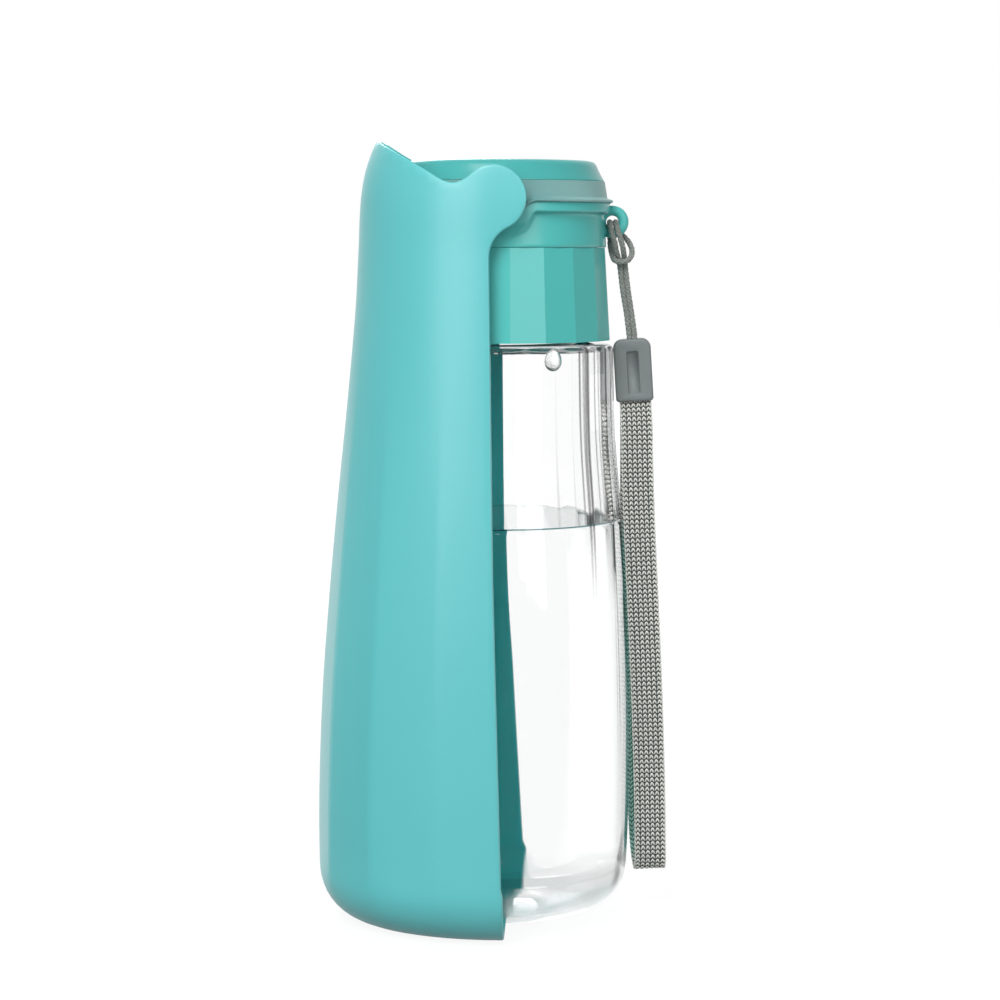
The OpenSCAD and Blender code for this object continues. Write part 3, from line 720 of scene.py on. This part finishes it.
# -------------------------------------------------------------- head shell
# Collar that turns on the ring: one moulding of teal plastic with a flange whose
# upper edge dips round each ear, the eyelet for the cord and two hinge bosses.
teal_head = teal_plastic("satin_teal_head_plastic", "#50bab5", "#59c3be", 0.27, 0.5, 2200)
collar_z = 188.6
collar_r = 29.5
collar_edge = 0.12
flange_r = 31.1
flange_z = 200.7
flange_low = hinge_z - 11
flange_rise = 5
flange_band = 2.3
flange_step = 1.1
flange_lean = 0.1
collar_flare = 0.38
flare_top = 196
flare_h = 7
edge_at_r = 31
head_wall_r = 27.6
head_in_r = 25.5
head_step_z = 199
journal_r = 24.6
seat_rs = (27.54, 26.54)
seat_sink = 0.8
cap_z0 = 206.5
dip_r = 8.6
dip_round = 4
boss_r = 4
boss_y = 33.5
eyelet_ring_r = 3.05
eyelet_wire_r = 1.45
eyelet_bore_r = 1.72

# Upper edge of the flange seen from the side: an arc under the ear, a round
# shoulder that touches it, and the level edge.
shoulder_x = math.sqrt((dip_r + dip_round) ** 2 - (hinge_z - flange_z + dip_round) ** 2)
shoulder_a = math.atan2(flange_z - dip_round - hinge_z, shoulder_x)
dip_line = [(dip_r * math.cos(a), hinge_z + dip_r * math.sin(a))
            for a in np.linspace(-math.pi / 2, shoulder_a, 24)]
dip_line += [(shoulder_x + dip_round * math.cos(a), flange_z - dip_round + dip_round * math.sin(a))
             for a in np.linspace(shoulder_a + math.pi, math.pi / 2, 14)[1:]]
dip_line = np.array(dip_line + [(40, flange_z)])


def edge_height(x):
    return float(np.interp(abs(x), dip_line[:, 0], dip_line[:, 1]))


def edge_distance(x, z):
    """Distance from a point of the side view to the flange's upper edge."""
    a, b = dip_line[:-1], dip_line[1:]
    ab, ap = b - a, np.array([abs(x), z]) - a
    t = np.clip((ap * ab).sum(1) / (ab * ab).sum(1), 0, 1)
    return float(np.min(np.hypot(*(ap - ab * t[:, None]).T)))


def head_radius(x, z):
    """Below its upper edge the flange is a raised band, which leans back and ends in a step,
    and the collar flares a little towards the ring."""
    s = edge_distance(x, z)
    proud = eased((z - flange_low) / flange_rise) * (flange_r - collar_r)
    flare = collar_flare * eased((flare_top - z) / flare_h)
    lean = 1 - flange_lean * (1 - min(1, s / flange_band))
    return collar_r + flare + proud * lean * (1 - eased((s - flange_band) / flange_step))


def wrapped(columns, rows, start=0):
    """Faces of a grid of points that closes on itself in both directions."""
    return [tuple(start + (c % columns) * rows + r % rows
                  for c, r in ((i, k), (i, k + 1), (i + 1, k + 1), (i + 1, k)))
            for i in range(columns) for k in range(rows)]


def turned_wall(low, high, steps, radius, rest):
    """Closed wall turned round the axis. Its outer face runs in steps between two heights,
    where None is the flange's upper edge, and rest is the profile that closes it."""
    columns = 480
    points = []
    for a in around(columns):
        edge = edge_height(edge_at_r * math.cos(a))
        top, bottom = (high or edge), (low or edge)
        heights = [top - (top - bottom) * s for s in steps]
        column = [(radius(edge_at_r * math.cos(a), z), z) for z in heights]
        for r, z in column + [(r, z or edge) for r, z in rest]:
            points.append((r * math.cos(a), r * math.sin(a), z))
    return points, wrapped(columns, len(points) // columns)


def shares(lengths):
    return [d / lengths[-1] for d in lengths]


down = shares((0, 0.3, 0.8, 1.4, 2, 2.3, 2.45, 2.6, 2.75, 2.9, 3.05, 3.2, 3.5, 4, 4.6, 5.2, 6, 7, 8,
               9.5, 11, 11.75))
head_inside = [(collar_r + 0.25, collar_z), (seat_rs[0], collar_z), (seat_rs[0], collar_z - seat_sink),
               (seat_rs[1], collar_z - seat_sink), (seat_rs[1], collar_z), (journal_r, collar_z),
               (journal_r, head_step_z), (head_in_r, head_step_z), (head_in_r, cap_z0),
               (head_wall_r, cap_z0), (head_wall_r, None)]
points, faces = turned_wall(collar_z + collar_edge, None, down, head_radius, head_inside)
# Eyelet and bosses are part of the same moulding.
faces += wrapped(64, 24, len(points))
for a in around(64):
    for b in around(24):
        r = max(eyelet_bore_r, eyelet_ring_r + eyelet_wire_r * math.cos(b))
        points.append((eyelet[0] + r * math.cos(a), eyelet_wire_r * math.sin(b), eyelet[2] + r * math.sin(a)))
for side in (-1, 1):
    rings = [[(r * math.cos(a), side * y, hinge_z + r * math.sin(a)) for a in around(48)]
             for y, r in ((head_in_r + 1, boss_r), (boss_y - 0.3, boss_r), (boss_y, boss_r - 0.3))]
    faces += tube(rings, len(points))
    points += [p for r in rings for p in r]
head_piece = mesh_object("head_moulding", points, faces, teal_head)
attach(head_piece, "head")
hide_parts("head_shell")

# -------------------------------------------------------------- outlet cap
# Plate with the outlet in a shallow dish, pressed into the head. It is of the
# same kind of plastic, painted a deeper teal as shade on its upturned top.
round_parts = 160
facet_turn = 18
first_edge = -75


def lathe(profile, name, material):
    """Body turned from a profile of (radius, height, facet share) that ends on the axis or
    where it starts."""
    points, faces = [], []
    for r, z, k in profile:
        for i in range(round_parts):
            turned = i * 360 / round_parts
            a = math.radians(first_edge + turned)
            off = math.radians(turned % facet_turn - facet_turn / 2)
            q = r * (1 + (math.cos(math.radians(facet_turn / 2)) / math.cos(off) - 1) * k)
            points.append((q * math.cos(a), q * math.sin(a), z))
    for k in range(len(profile) - 1):
        low, high = k * round_parts, (k + 1) * round_parts
        for i in range(round_parts):
            j = (i + 1) % round_parts
            faces.append((low + i, low + j, high + j, high + i))
    return mesh_object(name, points, faces, material)


outlet_r = 6
plate_under_z = 207.1
plate_z = 212.1
skirt_z = 195.8
cap_profile = [
    (outlet_r, plate_under_z), (22.4, plate_under_z), (23.4, plate_under_z - 1), (23.4, skirt_z),
    (25.4, skirt_z), (25.4, cap_z0), (29, cap_z0), (29.3, 206.55), (29.35, 206.7), (29.2, 207),
    (28.55, 208.1), (27.7, 209.8), (27.35, 210.6), (27, 211.25), (26.6, 211.7), (26.1, 211.97),
    (25.4, plate_z), (23, plate_z), (20.6, plate_z), (20.3, 212.08), (20, 211.9), (19, 211.1),
    (17, 210.2), (14, 209.75), (7, 209.3), (6.6, 209.2), (6.2, 208.9), (outlet_r, 208.5),
    (outlet_r, plate_under_z)]
# A deeper teal than the head's plastic: painted shade.
teal_cap_painted_shade = teal_plastic("satin_teal_plate_plastic_painted_shade", "#46a6a3", "#4eafac", 0.27, 0.5, 2200)
cap_piece = lathe([(r, z, 0) for r, z in cap_profile], "outlet_plate", teal_cap_painted_shade)
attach(cap_piece, "head")
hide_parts("outlet_cap")

# ----------------------------------------------------------- silicone band
# Soft band of natural silicone between plate and flange, whose lip wipes the
# trough. Light gets some way into it, so it looks pale and milky.
silicone, tree, surface, place = new_material("milky_silicone", {
    "Roughness": 0.42, "IOR": 1.41, "Subsurface Weight": 0.4, "Subsurface Radius": (0.003, 0.003, 0.003)})
# Painted shade: the band is darker and tealer towards the ears, which shade it and reflect their teal onto
# it.
painted_ear_shade = ramp(tree, calc(tree, "ABSOLUTE", apart(tree, place)["X"]), 0.008, 0.028, -0.6)
paint(tree, surface, calc(tree, "ADD", noise(tree, place, 40, 2), painted_ear_shade), "#6c9f9e", "#8cb8b6")

band_top_r = 29.5
band_r = 30.2
lip_r = 31.8
lip_t = 0.7
band_taper = 4.2


def band_radius(x, z):
    """The band widens downwards, and its lip follows the flange's upper edge."""
    s = edge_distance(x, z)
    side = band_top_r + (band_r - band_top_r) * min(1, (cap_z0 - z) / band_taper)
    lip = lip_t + 0.3 * eased((s - 0.05) / 0.2) if s < lip_t else 1 - eased((s - lip_t) / lip_t)
    return side + (lip_r - band_r) * lip


up = [1 - d for d in shares((0, 0.1, 0.2, 0.3, 0.5, 0.7, 0.8, 0.9, 1.05, 1.2, 1.3, 1.4, 1.8, 2.3, 3, 4, 5,
                             5.65, 5.8))]
points, faces = turned_wall(None, cap_z0, up[::-1], band_radius, [(head_wall_r, None), (head_wall_r, cap_z0)])
band_piece = mesh_object("silicone_band", points, faces, silicone)
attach(band_piece, "head")
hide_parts("seal_band")


def dress(node, material):
    """Gives a CAD node its material."""
    cad[node].data.materials.clear()
    cad[node].data.materials.append(material)


# The seals inside the head and on the neck are of the same silicone.
for name in ("port_seals", "journal_o_ring", "neck_gasket"):
    dress(name, silicone)

# ------------------------------------------------------------- valve rotor
# Cup of natural acetal, smooth and slightly waxy. It turns with the head, and its
# two openings let water through the ring's ports or shut them.
acetal, tree, surface, place = new_material("natural_acetal", {"Roughness": 0.35})
paint(tree, surface, noise(tree, place, 50, 2), "#dfe4e2", "#eaeeec")
dress("valve_rotor", acetal)

# -------------------------------------------------------------- screw ring
# Faceted ring that screws on the bottle's neck, moulded of the head's teal plastic.
# It shows the CAD model's own mesh, with 20 straight facets that lean in upwards.
dress("screw_ring", teal_head)

# ------------------------------------------------------------------ bottle
# Clear blown bottle of copolyester with a polished skin, soft facets on its
# upper half, a rounded foot and a shallow punt.
clear_plastic, tree, surface, place = new_material("clear_copolyester", {
    "Transmission Weight": 1, "IOR": 1.52, "Roughness": 0})
emboss(tree, surface, noise(tree, place, 30, 1), 0.06, 0.0004)
# Painted shade: each facet's edge on the strap's side has a dark line painted where it bends the light, broad
# above and thin below.
at = apart(tree, place)
bearing = calc(tree, "ARCTAN2", at["Y"], at["X"])
edges = calc(tree, "MULTIPLY_ADD", bearing, 1 / math.radians(facet_turn), 0.5 - first_edge / facet_turn)
off = calc(tree, "ABSOLUTE", calc(tree, "SUBTRACT", calc(tree, "FLOORED_MODULO", edges, 1), 0.5))
off = calc(tree, "DIVIDE", off, ramp(tree, at["Z"], 0.09, 0.15, 0.3))
line = ramp(tree, off, 0.05, 0.11, 1, 0)
above = ramp(tree, at["Z"], 0.09, 0.11, 0, 0.9)
last = calc(tree, "MULTIPLY", ramp(tree, at["X"], 0.031, 0.033, 0, 0.8), ramp(tree, at["Z"], 0.045, 0.065))
for mask in (calc(tree, "MAXIMUM", above, last), ramp(tree, at["X"], 0.02, 0.024)):
    line = calc(tree, "MULTIPLY", line, mask)
# Painted shade on the foot under the strap: a dark band where the foot bends the light, 15 degrees to the
# near side, and 23 lower down.
painted_dark_streak = calc(tree, "ABSOLUTE", calc(tree, "ADD", bearing, ramp(tree, at["Z"], 0.012, 0.027, 0.4, 0.262)))
painted_dark_streak = calc(tree, "DIVIDE", painted_dark_streak, ramp(tree, at["Z"], 0.012, 0.027, 0.075, 0.02))
painted_dark_streak = ramp(tree, painted_dark_streak, 0.4, 1.2, 0.75, 0)
for low, high in ((0.009, 0.013), (0.03, 0.025)):
    painted_dark_streak = calc(tree, "MULTIPLY", painted_dark_streak, ramp(tree, at["Z"], low, high))
# Both painted shade marks darken the clear skin's colour towards a dark grey.
paint(tree, surface, calc(tree, "MAXIMUM", line, painted_dark_streak), "#ffffff", "#4d4a4c")


def two_surfaces(tree, share, first, second):
    """Surface that is the second shader by this share, and the first for the rest."""
    both = add(tree, "ShaderNodeMixShader", {0: share, 1: first.outputs[0], 2: second.outputs[0]})
    tree.links.new(both.outputs[0], tree.nodes["Material Output"].inputs["Surface"])


def from_axis(tree, at):
    """Distance of a place from the bottle's axis."""
    flat = add(tree, "ShaderNodeCombineXYZ", {0: at["X"], 1: at["Y"]}).outputs[0]
    return add(tree, "ShaderNodeVectorMath", {0: flat}, operation="LENGTH").outputs["Value"]


def clear_body(tree, surface, place, top=1):
    """Lamps light what is behind a clear body. Most light goes straight on at its thick foot
    round the punt, and part of it over the height top, where water has its surface."""
    lamp_ray = add(tree, "ShaderNodeLightPath").outputs["Is Shadow Ray"]
    at = apart(tree, place)
    radius = from_axis(tree, at)
    foot = calc(tree, "MULTIPLY", ramp(tree, at["Z"], 0.007, 0.015, 0.8, 0),
                ramp(tree, radius, 0.018, 0.021, 0.5))
    far = calc(tree, "MAXIMUM", ramp(tree, radius, 0.031, 0.0315, 1, 0), ramp(tree, at["Y"], -0.004, 0.004))
    over = calc(tree, "MULTIPLY", ramp(tree, at["Z"], top, top + 0.0003, 0, 0.7), far)
    share = calc(tree, "MAXIMUM", lamp_ray, calc(tree, "MAXIMUM", foot, over))
    loss = blend(tree, lamp_ray, (0.97, 0.98, 0.98, 1), (0.8, 0.82, 0.82, 1))
    clear = add(tree, "ShaderNodeBsdfTransparent", {"Color": loss})
    two_surfaces(tree, share, surface, clear)


clear_body(tree, surface, place)

bottle_r = 36.8
shoulder_r = 32
neck_r = 24.5
mouth_r = 21.5
neck_top = 182.14
shoulder_z = 162.4
foot_z = 4.4
foot_round = 12
foot_in_r = 10.4
foot_in_centre = 24.4
bottle_wall = 2.0
shoulder_round = 1.6
side_low = foot_z + foot_round
side_high = shoulder_z - 2
foot_r = bottle_r - 0.4
bottle_at = [(side_low, foot_r), (33, bottle_r), (62, 36.6), (90, 35.7), (113, 34.592), (134, 32.816),
             (146, 32.3), (side_high, shoulder_r)]


def facet_share(z):
    """The facets rise out of the round lower half between 78 and 120 mm up."""
    return eased((z - 78) / 42)


outside = [(0, 8.4, 0), (6, 8.2, 0), (12, 7.3, 0), (17, 5.5, 0), (19.3, 4.55, 0), (20.3, foot_z, 0),
           (23.6, foot_z, 0)]
outside += [(foot_r - foot_round * (1 - math.sin(a)), foot_z + foot_round * (1 - math.cos(a)), 0)
            for a in [math.radians(x) for x in range(6, 91, 6)]]
outside += [(curve(bottle_at, z), z, facet_share(z)) for z in np.linspace(side_low, side_high, 72)[1:]]
outside += [(shoulder_r - shoulder_round * (1 - math.cos(math.radians(18 * i))),
             side_high + shoulder_round * math.sin(math.radians(18 * i)), 1.2 - 0.2 * i) for i in range(1, 6)]
outside += [(27, shoulder_z - 0.35, 0), (25.2, shoulder_z, 0), (24.6, shoulder_z + 0.5, 0),
            (neck_r, shoulder_z + 0.8, 0), (neck_r, neck_top - 0.5, 0), (neck_r - 0.5, neck_top, 0)]
inside = [(mouth_r + 0.4, neck_top, 0), (mouth_r, neck_top - 0.4, 0), (mouth_r, 162.3, 0), (21.9, 161.6, 0),
          (22.8, 161.2, 0), (28.9, 161.1, 0), (29.6, 160.9, 0), (29.95, 160.5, 0)]
inside += [(curve(bottle_at, z) - bottle_wall, z, 0) for z in np.linspace(side_high - 0.4, side_low, 72)]
inside += [(foot_in_centre + foot_in_r * math.cos(a), side_low - foot_in_r * math.sin(a), 0)
           for a in [math.radians(x) for x in range(8, 89, 8)]]
punt_inside = [(21.5, 6.4), (19, 6.9), (15, 8.1), (10, 9.4), (5, 9.9), (0, 10)]
inside += [(r, z, 0) for r, z in punt_inside]
bottle_piece = lathe(outside + inside, "bottle_shell", clear_plastic)
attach(bottle_piece, "bottle")
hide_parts("bottle")

# ------------------------------------------------------------------- water
# Still drinking water up to about two thirds of the bottle, with the edge of
# its surface drawn up the wall, and one drop that clings to the outside under
# the ring.
water, tree, surface, place = new_material("still_water", {
    "Transmission Weight": 1, "IOR": 1.333, "Roughness": 0})
water_z = 113.4
# The edge of the surface is painted with a thin dark line on the near side, painted shade where the meniscus
# bends the light.
at = apart(tree, place)
line = ramp(tree, at["Z"], (water_z - 0.15) / 1000, (water_z - 0.05) / 1000)
for mask in (ramp(tree, at["Z"], (water_z + 1) / 1000, (water_z + 2) / 1000, 1, 0),
             ramp(tree, at["Y"], -0.012, -0.002, 1, 0), ramp(tree, from_axis(tree, at), 0.0315, 0.032)):
    line = calc(tree, "MULTIPLY", line, mask)
paint(tree, surface, line, "#ffffff", "#2c5458")
clear_body(tree, surface, place, top=(water_z - 0.5) / 1000)

# Water reaches a little way into the wall, so that no film of air lies between.
bite = 0.1
meniscus = ((-0.05, 0.3), (0.02, 0.28), (0.15, 0.17), (0.35, 0.08), (0.6, 0.03), (0.9, 0.005), (1.2, 0))
water_r = foot_in_r + bite
fill = [(r, z - bite, 0) for r, z in punt_inside[::-1]]
fill += [(foot_in_centre + water_r * math.cos(a), side_low - water_r * math.sin(a), 0)
         for a in [math.radians(x) for x in range(80, 7, -8)]]
fill += [(curve(bottle_at, z) - bottle_wall + bite, z, 0) for z in np.linspace(side_low, water_z + 0.3, 50)]
fill += [(curve(bottle_at, water_z) - bottle_wall - d, water_z + h, 0) for d, h in meniscus]
fill += [(20, water_z, 0), (0, water_z, 0)]
water_piece = lathe(fill, "water_fill", water)
# The drop sags: it is a ball, drawn out to three half widths and narrower above.
drop_at = Vector((15.7, -27.9, 158.7))
drop_half = (2.5, 1.3, 3)
drop_sag = 0.12
ball = bmesh.new()
bmesh.ops.create_uvsphere(ball, u_segments=24, v_segments=16, radius=1)
outwards = Vector((drop_at.x, drop_at.y, 0)).normalized()
along = Vector((-outwards.y, outwards.x, 0))
points = []
for v in ball.verts:
    narrow = 1 + drop_sag * v.co.z
    points.append(drop_at + along * v.co.x * drop_half[0] / narrow + outwards * v.co.y * drop_half[1] / narrow
                  + Vector((0, 0, v.co.z * drop_half[2])))
faces = [tuple(v.index for v in f.verts) for f in ball.faces]
ball.free()
drop = mesh_object("water_drop", points, faces, water)
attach(drop, "bottle")
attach(water_piece, "bottle")

# ------------------------------------------------ floor, backdrop and light
# Plain white table in a white room. Both are white to the eye and through glass,
# and the floor keeps a faint shadow of the object. What gloss reflects is dark in
# front and white behind, as in a studio with black cloth before its table.
floor_white, tree, surface, place = new_material("white_table", {"Roughness": 0.9})
path = add(tree, "ShaderNodeLightPath").outputs
grey = blend(tree, path["Is Camera Ray"], (0.25, 0.25, 0.25, 1), (0.9, 0.9, 0.9, 1))
tree.links.new(grey, surface.inputs["Base Color"])
away = add(tree, "ShaderNodeVectorMath", {0: place}, operation="LENGTH").outputs["Value"]
share = calc(tree, "MULTIPLY", path["Is Camera Ray"], ramp(tree, away, 0.05, 0.4, 0.85))
at = apart(tree, place)
front = ramp(tree, calc(tree, "MULTIPLY_ADD", at["X"], 0.35, at["Y"]), -0.06, 0.01, 0.02, 1.1)
front = blend(tree, path["Glossy Depth"], 1.16, front, "FLOAT")
mirrored = calc(tree, "MAXIMUM", path["Is Glossy Ray"], path["Is Transmission Ray"])
bright = blend(tree, path["Is Camera Ray"], front, 1.06, "FLOAT")
glow = add(tree, "ShaderNodeEmission", {"Color": (1, 1, 1, 1), "Strength": bright})
two_surfaces(tree, calc(tree, "MAXIMUM", share, mirrored), surface, glow)
floor_half = 4000
floor_z = -0.02
corners = [(x * floor_half, y * floor_half, floor_z) for x, y in ((-1, -1), (1, -1), (1, 1), (-1, 1))]
floor = mesh_object("floor", corners, [(0, 1, 2, 3)], floor_white, smooth=False)

room = bpy.data.worlds.new("white_room")
room.use_nodes = True
bpy.context.scene.world = room
tree = room.node_tree
path = add(tree, "ShaderNodeLightPath").outputs
seen = calc(tree, "MAXIMUM", path["Is Camera Ray"], path["Is Glossy Ray"])
seen = calc(tree, "MAXIMUM", seen, path["Is Transmission Ray"])
towards = apart(tree, add(tree, "ShaderNodeTexCoord").outputs["Generated"])
front = calc(tree, "MULTIPLY", ramp(tree, towards["Y"], -0.3, 0.6, 0.06),
             ramp(tree, calc(tree, "ABSOLUTE", towards["X"]), 0.4, 0.85, 1, 0.4))
front = blend(tree, path["Glossy Depth"], 1, front, "FLOAT")
backdrop = tree.nodes["Background"].inputs
tree.links.new(blend(tree, seen, 0.42, front, "FLOAT"), backdrop["Strength"])
backdrop["Color"].default_value = (1, 1, 1, 1)


def lamp(name, where, target, size, watts):
    """Soft box of a width and height, aimed at a point; places in metres."""
    light = bpy.data.lights.new(name, "AREA")
    light.shape = "RECTANGLE"
    light.size, light.size_y = size
    light.energy = watts
    box = bpy.data.objects.new(name, light)
    box.location = where
    box.rotation_euler = (Vector(target) - Vector(where)).to_track_quat("-Z", "Y").to_euler()
    bpy.context.scene.collection.objects.link(box)


lamp("high_box", (-0.3, -0.98, 1.0), (0, 0, 0.13), (0.6, 0.6), 9.9)
lamp("left_box", (-0.62, -1.05, 0.5), (0, 0, 0.3), (0.7, 0.95), 4.4)
lamp("right_box", (0.75, -1.05, 0.5), (0, 0, 0.3), (0.5, 0.95), 4.1)
lamp("back_box", (-0.35, 1.15, 0.9), (0, 0, 0.13), (0.7, 0.7), 7)
